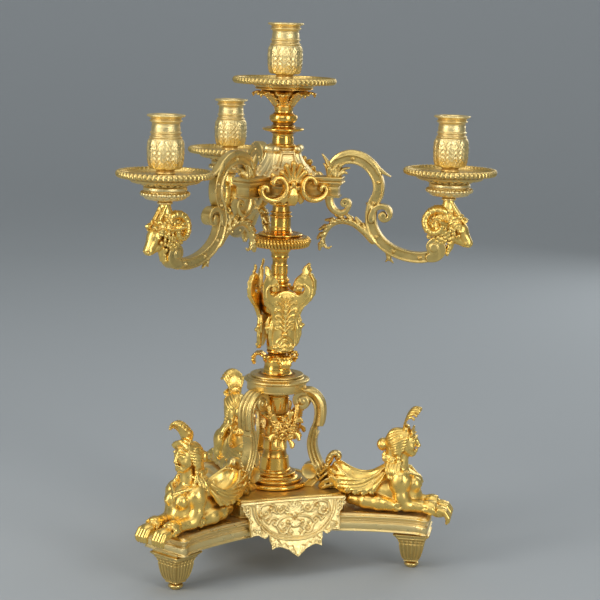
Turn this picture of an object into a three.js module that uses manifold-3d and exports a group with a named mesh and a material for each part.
// A gilt-bronze candelabrum with four lights: three scrolled arms round a central column,
// on a three-limbed base with a winged sphinx over each foot. Millimetres, +Z up.
// Shapes are drawn round the column's axis, with +X as the radial direction of an arm or a panel;
// each copy is then turned to its own bearing, and the whole group is moved back by AXIS_Y.

import * as THREE from 'three';
import { mergeVertices } from 'three/addons/utils/BufferGeometryUtils.js';
import Module from 'manifold-3d';

const wasm = await Module();
wasm.setup();

// Driving dimensions
const ARM_REACH = 173; // column axis to the candle axis of an arm
const AXIS_Y = -ARM_REACH / 4; // the box of three arms is centred this far behind the column
const LIMBS = { right: -30, rear: 90, left: -150 }; // bearings of arms, base limbs and sphinxes
const SIDES = { front: -90, right: 30, left: 150 }; // bearings of aprons, shields, shells and swags
const LIMB_BEARINGS = Object.values(LIMBS);
const SIDE_BEARINGS = Object.values(SIDES);
const GAP = 0.3; // between pieces that rest on each other

const PLATE_Z = [42, 61]; // base plate, underside and top
const CENTRE_TOP = 80; // raised centre of the base
const PLATE_WALL = 4;
const FOOT_REACH = 149.5;
const FOOT_CAP = 37; // side of the square cap of a foot

const ROD_RADIUS = 4; // tie rod that clamps the column together
const ROD_Z = [33, 480];
const BORE = 4.5; // hole for the tie rod
const BOLT_RADIUS = 2.5; // bolt through foot, plate and sphinx
const BOLT_BORE = 2.8;
const BOLT_Z = [20.3, 76];

const PLATFORM_Z = [388, 409]; // block that carries the arms
const BLOCK_TOP = { reach: 64.5, half: 12, z: [403, 409] };
const BLOCK_BODY = { reach: 58, half: 9, z: [388, 403] };
const STEM = { from: 47, to: 57, half: 5 }; // an arm's stem, where it passes down through its block
const SCREW_RADIUS = 2;
const SCREW_Z = 398.5;

const BAND_HALF = 5.75; // half the height of an arm's band
const BAND_THICK = 10;

const SEAT_ARM = 419; // where a socket stands on the pan of an arm
const SEAT_CENTRE = 506.5;
const SPIGOT_RADIUS = 3;
const SPIGOT_LENGTH = 20;
const SPIGOT_BORE = 3.6;
const CANDLE_RADIUS = 11.5; // bore of a socket, for a 22 to 23 mm candle
const SOCKET_FLOOR = 12; // floor of the candle bore above the socket's seat

const TURNED_SIDES = 16;
const GILT = 0xd9a441;
const PALE_GILT = 0xe6bd66;
const AGED_GILT = 0xb89346;
const STEEL = 0x8a8a86;

// Solids from three.js geometry

const MERGE_DISTANCE = 1e-4;

function solid(geometry) {
  geometry.deleteAttribute('normal');
  geometry.deleteAttribute('uv');
  const merged = mergeVertices(geometry, MERGE_DISTANCE);
  const vertProperties = merged.attributes.position.array;
  const corner = (index) => new THREE.Vector3().fromArray(vertProperties, 3 * index);
  const triangles = [];
  let volume = 0;
  for (let i = 0; i < merged.index.count; i += 3) {
    const [a, b, c] = [0, 1, 2].map((k) => merged.index.getX(i + k));
    if (a === b || b === c || c === a) continue;
    triangles.push([a, b, c]);
    volume += corner(a).dot(corner(b).cross(corner(c)));
  }
  const outward = triangles.map(([a, b, c]) => (volume < 0 ? [a, c, b] : [a, b, c]));
  const triVerts = Uint32Array.from(outward.flat());
  return new wasm.Manifold(new wasm.Mesh({ numProp: 3, vertProperties, triVerts }));
}

function join(...shapes) {
  return shapes.reduce((whole, shape) => whole.add(shape));
}

function geometryOf(shape) {
  const { vertProperties, triVerts } = shape.getMesh();
  const geometry = new THREE.BufferGeometry();
  geometry.setAttribute('position', new THREE.BufferAttribute(vertProperties, 3));
  geometry.setIndex(new THREE.BufferAttribute(triVerts, 1));
  geometry.computeVertexNormals();
  return geometry;
}

// A turned piece from its outer profile [radius, z], bottom to top, with a bore or solid
function turned(profile, bore = 0, sides = TURNED_SIDES) {
  const closed = [[bore, profile[0][1]], ...profile, [bore, profile.at(-1)[1]]];
  if (bore) closed.push(closed[0]);
  const points = closed.map(([radius, z]) => new THREE.Vector2(radius, z));
  return solid(new THREE.LatheGeometry(points, sides).rotateX(Math.PI / 2));
}

function extruded(outline, depth) {
  const shape = new THREE.Shape(outline.map(([u, v]) => new THREE.Vector2(u, v)));
  return new THREE.ExtrudeGeometry(shape, { depth, bevelEnabled: false });
}

// A plan outline [x, y] raised from one height to another
function flat(outline, [low, high]) {
  return solid(extruded(outline, high - low).translate(0, 0, low));
}

// An outline [radius, z] in the radial plane, given a thickness across it
function upright(outline, thickness, sideways = 0) {
  const geometry = extruded(outline, thickness).rotateX(Math.PI / 2);
  return solid(geometry.translate(0, sideways + thickness / 2, 0));
}

// An outline [sideways, z] that faces outward, from one radius to another
function facing(outline, [near, far]) {
  const geometry = extruded(outline, far - near);
  const turn = new THREE.Matrix4().makeBasis(
    new THREE.Vector3(0, 1, 0),
    new THREE.Vector3(0, 0, 1),
    new THREE.Vector3(1, 0, 0),
  );
  return solid(geometry.applyMatrix4(turn).translate(near, 0, 0));
}

function block([x0, x1], [y0, y1], [z0, z1]) {
  const geometry = new THREE.BoxGeometry(x1 - x0, y1 - y0, z1 - z0);
  return solid(geometry.translate((x0 + x1) / 2, (y0 + y1) / 2, (z0 + z1) / 2));
}

function ball(centre, radii, tilt = 0, sides = 8) {
  const geometry = new THREE.SphereGeometry(1, sides, sides / 2).scale(...radii);
  return solid(geometry.rotateY(tilt).translate(...centre));
}

// A round bar between two points, tapered when the second radius differs
function bar(from, to, radius, endRadius = radius, sides = 8) {
  const start = new THREE.Vector3(...from);
  const along = new THREE.Vector3(...to).sub(start);
  const geometry = new THREE.CylinderGeometry(endRadius, radius, along.length(), sides);
  const middle = start.clone().addScaledVector(along, 0.5);
  const turn = new THREE.Quaternion().setFromUnitVectors(
    new THREE.Vector3(0, 1, 0),
    along.clone().normalize(),
  );
  return solid(geometry.applyQuaternion(turn).translate(...middle.toArray()));
}

// The outline of a band that follows a smooth centreline
function strip(centreline, half, steps) {
  const line = new THREE.SplineCurve(centreline.map(([u, v]) => new THREE.Vector2(u, v)));
  const upper = [];
  const lower = [];
  for (let i = 0; i <= steps; i += 1) {
    const at = line.getPointAt(i / steps);
    const along = line.getTangentAt(i / steps);
    upper.push([at.x - along.y * half, at.y + along.x * half]);
    lower.unshift([at.x + along.y * half, at.y - along.x * half]);
  }
  return [...upper, ...lower];
}

function smooth(points, steps) {
  const line = new THREE.SplineCurve(points.map(([u, v]) => new THREE.Vector2(u, v)));
  return line.getSpacedPoints(steps).map((p) => [p.x, p.y]);
}

function mirrored(half) {
  return [...half, ...half.filter(([u]) => u !== 0).map(([u, v]) => [-u, v]).reverse()];
}

const turnPoint = ([x, y], degrees) => {
  const angle = THREE.MathUtils.degToRad(degrees);
  return [
    x * Math.cos(angle) - y * Math.sin(angle),
    x * Math.sin(angle) + y * Math.cos(angle),
  ];
};

// Base: a concave-sided plate with three limbs, hollow below, and a raised centre

// One edge of a limb, from the middle of a side out to the end, as [radius, sideways]
const LIMB_EDGE = [
  [57 * Math.cos(Math.PI / 3), 57 * Math.sin(Math.PI / 3)],
  [53, 35.5],
  [77, 30],
  [104, 25.5],
  [132, 23.5],
  [152, 24],
  [162, 27.5],
];
const LIMB_END = 168;
const LIMB_END_HALF = 25;

function limbedOutline(inset) {
  const edge = smooth(LIMB_EDGE, 10).map(([r, s]) => [r - inset * 0.6, s - inset]);
  const end = [[LIMB_END - inset, LIMB_END_HALF - inset]];
  const right = [...edge, ...end].map(([r, s]) => [r, -s]);
  const left = [...edge, ...end].reverse();
  const limb = [...right.slice(1), ...left];
  return LIMB_BEARINGS.flatMap((bearing) => limb.map((point) => turnPoint(point, bearing)));
}

function basePlate() {
  const [low, high] = PLATE_Z;
  const plate = flat(limbedOutline(0), PLATE_Z);
  const hollow = flat(limbedOutline(PLATE_WALL + 2), [low - 1, high - PLATE_WALL]);
  const bosses = LIMB_BEARINGS.map((bearing) => {
    const [x, y] = turnPoint([FOOT_REACH, 0], bearing);
    return bar([x, y, low], [x, y, high - 1], 8);
  });
  const shell = join(plate.subtract(hollow), ...bosses, bar([0, 0, low], [0, 0, high - 1], 12));
  const holes = LIMB_BEARINGS.map((bearing) => {
    const [x, y] = turnPoint([FOOT_REACH, 0], bearing);
    return bar([x, y, low - 1], [x, y, high + 1], BOLT_BORE);
  });
  const rodHole = bar([0, 0, low - 1], [0, 0, high + 1], BORE);
  return shell.subtract(join(...holes, rodHole, apronPockets()));
}

function turnedTo(shape, bearing) {
  return shape.rotate([0, 0, bearing]);
}

function baseCentre() {
  const low = PLATE_Z[1];
  const limb = [
    [54, 34],
    [72, 27],
    [76, 20],
  ];
  const near = [...limb].reverse();
  const side = [...limb.map(([r, s]) => [r, -s]), ...near];
  const outline = (scale) =>
    LIMB_BEARINGS.flatMap((bearing) =>
      side.map(([r, s]) => turnPoint([r * scale, s * scale], bearing)),
    );
  const stepped = join(
    flat(outline(1), [low, low + 6]),
    flat(outline(0.96), [low + 5, CENTRE_TOP - 4]),
    flat(outline(0.92), [CENTRE_TOP - 5, CENTRE_TOP]),
  );
  const rodHole = bar([0, 0, low - 1], [0, 0, CENTRE_TOP + 1], BORE);
  return stepped.subtract(join(rodHole, apronPockets()));
}

// Apron: a lobed plaque that hangs over the middle of a side and flares outward

const APRON_HALF = [
  [0, 80],
  [57, 79],
  [54, 66],
  [49, 60],
  [48.5, 45],
  [40, 45.5],
  [33, 42],
  [28.5, 45],
  [26, 32],
  [17, 33],
  [10, 30.5],
  [0, 23],
];

const APRON_BACK = [
  [58, 84],
  [60.5, 68],
  [65, 50],
  [71, 34],
  [78, 16],
];
const APRON_THICK = 3.2;

// The outline, given the flared section between two offsets from its back
function apronShape(outline, nearOffset, farOffset) {
  const profile = [
    ...APRON_BACK.map(([r, z]) => [r + nearOffset, z]),
    ...APRON_BACK.map(([r, z]) => [r + farOffset, z]).reverse(),
  ];
  return facing(outline, [40, 110]).intersect(upright(profile, 130));
}

const apron = () => apronShape(mirrored(APRON_HALF), 0, APRON_THICK);

// What the base is cut back by, so that the aprons lie clear of it
function apronPockets() {
  const grow = 1.012;
  const outline = mirrored(APRON_HALF).map(([s, z]) => [s * grow, 50 + (z - 50) * grow]);
  const pocket = apronShape(outline, -GAP, 30);
  return join(...SIDE_BEARINGS.map((bearing) => turnedTo(pocket, bearing)));
}

// Foot: a square bell on a flattened ball

function foot() {
  const square = (side, z) => [side / Math.SQRT2, z];
  const profile = [
    square(14, 7),
    square(19, 10),
    square(22, 16),
    square(25.5, 23),
    square(28, 30),
    square(32, 31),
    square(FOOT_CAP, 36),
    square(FOOT_CAP, PLATE_Z[0] - GAP),
  ];
  const bell = turnedTo(turned(profile, 0, 4), 45);
  const pad = turned([
    [4.5, 0],
    [6.3, 2],
    [6.3, 5],
    [4.8, 8],
  ]);
  const bore = bar([0, 0, BOLT_Z[0] - GAP], [0, 0, PLATE_Z[0] + 1], BOLT_BORE);
  return join(bell, pad).subtract(bore).translate([FOOT_REACH, 0, 0]);
}

function cornerBolt() {
  return bar([FOOT_REACH, 0, BOLT_Z[0]], [FOOT_REACH, 0, BOLT_Z[1]], BOLT_RADIUS);
}

// Sphinx: a winged figure lying along a limb, head raised and paws over the end

const SPHINX_BASE = PLATE_Z[1] + GAP;
const MANTLE = [
  [84, SPHINX_BASE],
  [78, 82],
  [73, 90],
  [66, 104],
  [70, 107],
  [80, 100],
  [94, 96],
  [107, 101],
  [119, 109],
  [128, 104],
  [136, 84],
  [130, SPHINX_BASE],
];
const CREST = [
  [126, 146],
  [121, 152],
  [128, 163],
  [139, 171],
  [150, 174],
  [156, 170],
  [150, 166],
  [149, 158],
  [147, 148],
];

function sphinx() {
  const leg = (side) =>
    join(
      bar([144, side * 11, 88], [152, side * 11, 70], 7.5, 5.5, 6),
      bar([148, side * 11, 69], [180, side * 10, 65], 5.5, 5, 6),
      ball([182, side * 10, 62], [8, 6.5, 7], 0.6, 6),
      ball([102, side * 15, 76], [19, 8, 14]),
    );
  const figure = join(
    block([90, 164], [-17, 17], [SPHINX_BASE, SPHINX_BASE + 3]),
    upright(MANTLE, 30),
    ball([140, 0, 88], [20, 16, 25]),
    ball([131, 0, 112], [9, 9, 12]),
    ball([138, 0, 137], [15, 13, 18]),
    ball([120.5, 0, 132], [7, 7, 7]),
    upright(CREST, 9),
    leg(-1),
    leg(1),
  );
  const bore = bar([FOOT_REACH, 0, PLATE_Z[1]], [FOOT_REACH, 0, BOLT_Z[1] + GAP], BOLT_BORE);
  return figure.subtract(bore);
}

// Column, from the base up: turned pieces threaded on the tie rod

const columnFoot = () =>
  turned(
    [
      [33, CENTRE_TOP],
      [34, 82],
      [33, 84.5],
      [29.5, 85.5],
      [28.5, 88],
      [23, 90],
      [20, 94],
      [19, 97],
      [14.5, 98],
      [16, 103],
      [14.5, 109],
      [13, 110],
    ],
    BORE,
  );

const baluster = () =>
  turned(
    [
      [13, 110],
      [13.5, 120],
      [13, 131],
      [16, 132],
      [16, 136.5],
      [10.5, 138],
      [12, 145],
      [15.5, 152],
      [16.5, 155.5],
      [14, 158.5],
      [13.7, 176],
      [17, 182],
    ],
    BORE,
  );

const drumPlatform = () =>
  turned(
    [
      [26, 182],
      [31, 184],
      [31, 190],
      [34.5, 192],
      [34.5, 195],
      [30, 196.5],
      [27, 199.5],
      [15, 200],
    ],
    BORE,
  );

function leafCollar() {
  const leaf = strip(
    [
      [13, 204],
      [14.5, 216],
      [19, 220],
      [24, 217],
      [23.5, 208],
    ],
    1.5,
    10,
  );
  const leaves = SIDE_BEARINGS.map((bearing) => turnedTo(upright(leaf, 12), bearing));
  const stem = turned(
    [
      [16, 200],
      [13, 206],
      [13, 214],
      [10, 218],
      [9, 222],
    ],
    BORE,
  );
  return join(stem, ...leaves);
}

const cartoucheCore = () =>
  turned(
    [
      [9, 222],
      [11, 226],
      [11, 256],
      [16, 268],
      [18.5, 280],
      [14, 289],
      [9.5, 292],
    ],
    BORE,
  );

// Cartouche shield: an eared plaque that bellies out over the waist

const SHIELD_HALF = [
  [0, 284],
  [7, 287],
  [12, 294],
  [17, 304],
  [25, 303],
  [28, 292],
  [25, 277],
  [17.5, 272],
  [14, 262],
  [14, 253],
  [17, 248],
  [15, 234],
  [10, 226],
  [0, 225],
];

function cartoucheShield() {
  const back = [
    [18, 224],
    [18, 262],
    [21.5, 272],
    [24.5, 285],
    [25, 296],
    [20, 308],
  ];
  const thick = 3.4;
  const profile = [...back, ...back.map(([r, z]) => [r + thick, z]).reverse()];
  return facing(mirrored(SHIELD_HALF), [10, 40]).intersect(upright(profile, 70));
}

const stemNeck = () =>
  turned(
    [
      [9, 292],
      [9.5, 295],
      [8, 297],
      [9.2, 300],
      [8.2, 303],
      [8.2, 309],
      [9.4, 320],
      [11, 328],
      [12, 333],
    ],
    BORE,
  );

const gadroonFlange = () =>
  turned(
    [
      [17, 333],
      [30, 335],
      [33.4, 338.5],
      [32.5, 341],
      [26, 344],
      [14, 346.5],
      [10.5, 351],
    ],
    BORE,
  );

const stemSpool = () =>
  turned(
    [
      [10, 351],
      [10.2, 366],
      [8.2, 368],
      [8.2, 374],
      [12, 377.5],
      [12, 380.5],
      [9.5, 383],
      [16, PLATFORM_Z[0]],
    ],
    BORE,
  );

// Arm platform: a hub with a pocket under the hood, and three moulded blocks with slots for the arms

function armPlatform() {
  const [low, high] = PLATFORM_Z;
  const hub = turned(
    [
      [22, low],
      [27, 392],
      [27, 402],
      [30, 404],
      [30, high],
    ],
    BORE,
  );
  const pocket = turned(
    [
      [26, 395],
      [26, high + 1],
    ],
    9,
  );
  const blocks = LIMB_BEARINGS.map((bearing) => {
    const top = block([28, BLOCK_TOP.reach], [-BLOCK_TOP.half, BLOCK_TOP.half], BLOCK_TOP.z);
    const body = block([25.9, BLOCK_BODY.reach], [-BLOCK_BODY.half, BLOCK_BODY.half], BLOCK_BODY.z);
    const slot = block(
      [STEM.from - GAP, STEM.to + GAP],
      [-STEM.half - GAP, STEM.half + GAP],
      [low - 1, high + 1],
    );
    const screwHole = bar([20, 0, SCREW_Z], [STEM.from, 0, SCREW_Z], SCREW_RADIUS + GAP);
    return { shape: turnedTo(join(top, body), bearing), cut: turnedTo(join(slot, screwHole), bearing) };
  });
  const whole = join(hub, ...blocks.map(({ shape }) => shape));
  return whole.subtract(join(pocket, ...blocks.map(({ cut }) => cut)));
}

function armScrew() {
  const head = bar([21, 0, SCREW_Z], [25, 0, SCREW_Z], 3.5);
  return head.add(bar([24.5, 0, SCREW_Z], [53, 0, SCREW_Z], SCREW_RADIUS));
}

// Hood: a pagoda cap with three small scroll buds

function hood() {
  const low = PLATFORM_Z[1] + GAP;
  const cap = turned(
    [
      [29, low],
      [28.5, 412],
      [21, 418],
      [16, 426],
      [13, 434],
      [12, 438],
    ],
    BORE,
  );
  const buds = LIMB_BEARINGS.map((bearing) => turnedTo(bar([16, -4, 435], [16, 4, 435], 4), bearing));
  return join(cap, ...buds);
}

// Shell: a scallop on each side of the platform, over two C-scrolls and a small pendant

function shell() {
  const lobes = 7;
  const radius = 12.5;
  const fan = Array.from({ length: 2 * lobes + 1 }, (unused, i) => {
    const angle = Math.PI * (-0.1 + (1.2 * i) / (2 * lobes));
    const reach = i % 2 ? radius : radius - 1.5;
    return [reach * Math.cos(angle), 411 + reach * Math.sin(angle)];
  });
  const outline = [...fan, [-6, 398], [-3.5, 387], [0, 381], [3.5, 387], [6, 398]];
  const scroll = (side) => {
    const line = strip(
      [
        [side * 2, 388],
        [side * 14, 384.5],
        [side * 20, 391],
        [side * 17, 399],
        [side * 10, 401],
      ],
      2,
      8,
    );
    return facing(line, [31, 35]);
  };
  return join(facing(outline, [31, 36]), scroll(-1), scroll(1));
}

// Arm: a flat S-scroll band with volutes, an acanthus frond and a hook under its block

const ARM_LINE = [
  [52, 411.5],
  [54, 419],
  [62, 427],
  [73.5, 428.5],
  [86.7, 424],
  [97.2, 413],
  [101, 404],
  [99, 391],
  [94.5, 380],
  [94.6, 364],
  [100.2, 349],
  [108.5, 341],
  [119, 335],
  [132, 330.7],
  [146, 329.7],
  [157, 332.5],
];
const HOOK_LINE = [
  [50, 388],
  [52, 378],
  [60, 372.5],
  [69, 377],
  [70, 385],
  [64, 387],
];
const FROND_LINE = [
  [96, 347],
  [86, 355],
  [74, 362.5],
  [62, 363],
  [51, 357],
  [45, 346],
  [46, 336],
];

function arm() {
  const stem = block([STEM.from, STEM.to], [-STEM.half, STEM.half], [386, 414]);
  const band = upright(strip(ARM_LINE, BAND_HALF, 26), BAND_THICK);
  const hook = upright(strip(HOOK_LINE, 3.2, 9), 7);
  const frond = upright(strip(FROND_LINE, 3, 8), 8);
  const middleVolute = bar([106, -5.5, 372], [106, 5.5, 372], 6.5, 6.5, 12);
  const neck = upright(strip([[95, 379], [101, 379], [106, 377]], 2.2, 4), 9);
  const endVolute = bar([160.5, -6, 341], [160.5, 6, 341], 9.5, 9.5, 12);
  const screwHole = bar([STEM.from - 1, 0, SCREW_Z], [54, 0, SCREW_Z], SCREW_RADIUS + GAP);
  return join(stem, band, hook, frond, middleVolute, neck, endVolute).subtract(screwHole);
}

// Ram's head: carries the cup on its poll and faces outward over the end volute

function ramHead() {
  const horn = (side) => bar([160, side * 8, 366], [160, side * 16, 366], 10.5, 9, 10);
  return join(
    bar([ARM_REACH, 0, 372], [ARM_REACH, 0, 390 - GAP], 7.5, 6.5),
    ball([169, 0, 367], [14, 11, 13]),
    bar([183, 0, 369], [196, 0, 346], 9.5, 6.5),
    bar([184, 0, 356], [178, 0, 338], 6, 3.5),
    ball([166, 0, 361], [9, 10, 9.5]),
    horn(-1),
    horn(1),
  );
}

// Cup under an arm's drip pan, bored for the spigot

function armCup() {
  const cup = turned([
    [7, 390],
    [8, 393],
    [17, 395.5],
    [23, 398],
    [24, 400.5],
    [22, 403],
    [22.5, 406],
    [20, 407.7],
  ]);
  const bore = bar([0, 0, SEAT_ARM - SPIGOT_LENGTH - 1], [0, 0, 410], SPIGOT_BORE);
  return cup.subtract(bore).translate([ARM_REACH, 0, 0]);
}

const armPan = () =>
  turned(
    [
      [20, 408],
      [23, 409.5],
      [34, 413],
      [44, 415.5],
      [47.7, 418],
      [47.7, 421],
      [46, 422.8],
      [43.5, 421.3],
      [40, 418.2],
      [14, 417.5],
      [10, SEAT_ARM - GAP],
    ],
    SPIGOT_BORE,
  );

const centrePan = () =>
  turned(
    [
      [23, 498],
      [31, 500],
      [44, 501.5],
      [53.5, 504],
      [53.5, 507],
      [51.5, 508.8],
      [48.5, 507.2],
      [45, 505],
      [14, 505],
      [10, SEAT_CENTRE - GAP],
    ],
    SPIGOT_BORE,
  );

// Candle socket with its spigot, from its seat up

function socket() {
  return turned([
    [SPIGOT_RADIUS, -SPIGOT_LENGTH],
    [SPIGOT_RADIUS, 0],
    [9.5, 0],
    [9.5, 4],
    [14.8, 5.5],
    [17, 13],
    [17.8, 25],
    [17, 34],
    [14.8, 36],
    [14.3, 40],
    [14.3, 50],
    [15.6, 51.5],
    [18.2, 54],
    [18.2, 57],
    [CANDLE_RADIUS + 2, 57],
    [CANDLE_RADIUS, 55.5],
    [CANDLE_RADIUS, SOCKET_FLOOR],
  ]);
}

const topStem = () =>
  turned(
    [
      [12, 438],
      [11.7, 452],
      [20, 454],
      [21.5, 456],
      [20, 458],
      [12, 460.5],
      [14.7, 465],
      [14, 471],
      [10, 478],
    ],
    BORE,
  );

function topCalyx() {
  const cup = turned([
    [10, 478],
    [14, 484],
    [21, 490],
    [32, 493],
    [32, 495.5],
    [23, 498 - GAP],
  ]);
  const rodHole = bar([0, 0, 477], [0, 0, ROD_Z[1] + 0.6], BORE);
  const spigotHole = bar([0, 0, SEAT_CENTRE - SPIGOT_LENGTH - 1], [0, 0, 499], SPIGOT_BORE);
  return cup.subtract(join(rodHole, spigotHole));
}

// Scroll bracket: an S-band in a limb's plane, between the base and the drum

const BRACKET_LINE = [
  [28, 177],
  [36, 177.5],
  [43, 172],
  [46.4, 162.4],
  [45.5, 150],
  [41.4, 138.8],
  [39.5, 128],
  [41.2, 118],
  [45, 108],
  [51, 97],
  [58, 86],
  [62, 80],
];

function scrollBracket() {
  const band = upright(strip(BRACKET_LINE, 5.2, 18), 13);
  const strap = upright(strip([[42, 175], [48.5, 165], [50.3, 155], [49, 146]], 2.5, 8), 13);
  const topVolute = bar([28.5, -6.5, 171], [28.5, 6.5, 171], 8.5, 8.5, 12);
  const footVolute = bar([38.5, -5.5, 97.5], [38.5, 5.5, 97.5], 8, 8, 12);
  const web = upright([[38, 90], [50, 84], [54, 92], [42, 105]], 9);
  const crook = upright(strip([[56, 94], [57, 108], [61, 117], [67, 117]], 3, 8), 9);
  const whole = join(band, strap, topVolute, footVolute, web, crook);
  const below = block([0, 90], [-20, 20], [60, CENTRE_TOP + GAP]);
  return whole.subtract(below);
}

// Swag: a flower garland between two brackets, heaviest in the middle

function swag() {
  const points = [
    [21, -15.5, 164],
    [25, -13, 152],
    [27, -7, 142],
    [27.5, 0, 138],
    [27, 7, 142],
    [25, 13, 152],
    [21, 15.5, 164],
  ].map((point) => new THREE.Vector3(...point));
  const section = new THREE.Shape().absarc(0, 0, 3, 0, 2 * Math.PI);
  const path = new THREE.CatmullRomCurve3(points);
  const cord = new THREE.ExtrudeGeometry(section, { steps: 10, extrudePath: path, curveSegments: 3 });
  return join(
    solid(cord),
    ball([27.5, 0, 142], [7, 13, 9]),
    ball([27, 0, 131], [5, 7, 10]),
  );
}

function tieRod() {
  return bar([0, 0, ROD_Z[0]], [0, 0, ROD_Z[1]], ROD_RADIUS);
}

function tieNut() {
  const low = ROD_Z[0] + 1.5;
  const high = PLATE_Z[0] - GAP;
  const hexagon = bar([0, 0, low], [0, 0, high], 9, 9, 6);
  return hexagon.subtract(bar([0, 0, low - 1], [0, 0, high + 1], ROD_RADIUS + GAP));
}

// Assembly

const candelabrum = new THREE.Group();
const axis = new THREE.Group();
axis.position.y = AXIS_Y;
candelabrum.add(axis);

function place(name, shape, color, { bearing = 0, position = [0, 0, 0], roughness = 0.3 } = {}) {
  const material = new THREE.MeshStandardMaterial({ color, metalness: 1, roughness });
  const mesh = new THREE.Mesh(geometryOf(shape), material);
  mesh.name = name;
  mesh.rotation.z = THREE.MathUtils.degToRad(bearing);
  mesh.position.set(...position);
  axis.add(mesh);
}

place('base_plate', basePlate(), AGED_GILT);
place('base_centre', baseCentre(), GILT);
place('column_foot', columnFoot(), GILT);
place('column_baluster', baluster(), GILT);
place('drum_platform', drumPlatform(), AGED_GILT);
place('leaf_collar', leafCollar(), GILT);
place('cartouche_core', cartoucheCore(), GILT);
place('stem_neck', stemNeck(), GILT);
place('gadroon_flange', gadroonFlange(), GILT);
place('stem_spool', stemSpool(), GILT);
place('arm_platform', armPlatform(), AGED_GILT);
place('hood', hood(), PALE_GILT);
place('top_stem', topStem(), GILT);
place('top_calyx', topCalyx(), PALE_GILT);
place('tie_rod', tieRod(), STEEL);
place('tie_nut', tieNut(), STEEL);

for (const [name, bearing] of Object.entries(LIMBS)) {
  place(`foot_${name}`, foot(), AGED_GILT, { bearing });
  place(`corner_bolt_${name}`, cornerBolt(), STEEL, { bearing });
  place(`sphinx_${name}`, sphinx(), GILT, { bearing });
  place(`scroll_bracket_${name}`, scrollBracket(), AGED_GILT, { bearing });
  place(`arm_${name}`, arm(), AGED_GILT, { bearing });
  place(`arm_screw_${name}`, armScrew(), STEEL, { bearing });
  place(`ram_head_${name}`, ramHead(), PALE_GILT, { bearing });
  place(`arm_cup_${name}`, armCup(), GILT, { bearing });
}

for (const [name, bearing] of Object.entries(SIDES)) {
  place(`apron_${name}`, apron(), PALE_GILT, { bearing, roughness: 0.45 });
  place(`cartouche_shield_${name}`, cartoucheShield(), GILT, { bearing });
  place(`shell_${name}`, shell(), PALE_GILT, { bearing });
  place(`swag_${name}`, swag(), PALE_GILT, { bearing, roughness: 0.45 });
}

const lights = Object.entries(LIMBS).map(([name, bearing]) => {
  const [x, y] = turnPoint([ARM_REACH, 0], bearing);
  return { name, x, y, seat: SEAT_ARM, pan: armPan() };
});
lights.push({ name: 'centre', x: 0, y: 0, seat: SEAT_CENTRE, pan: centrePan() });

for (const { name, x, y, seat, pan } of lights) {
  place(`drip_pan_${name}`, pan, AGED_GILT, { position: [x, y, 0] });
  place(`socket_${name}`, socket(), PALE_GILT, { position: [x, y, seat], roughness: 0.4 });
}

export default candelabrum;
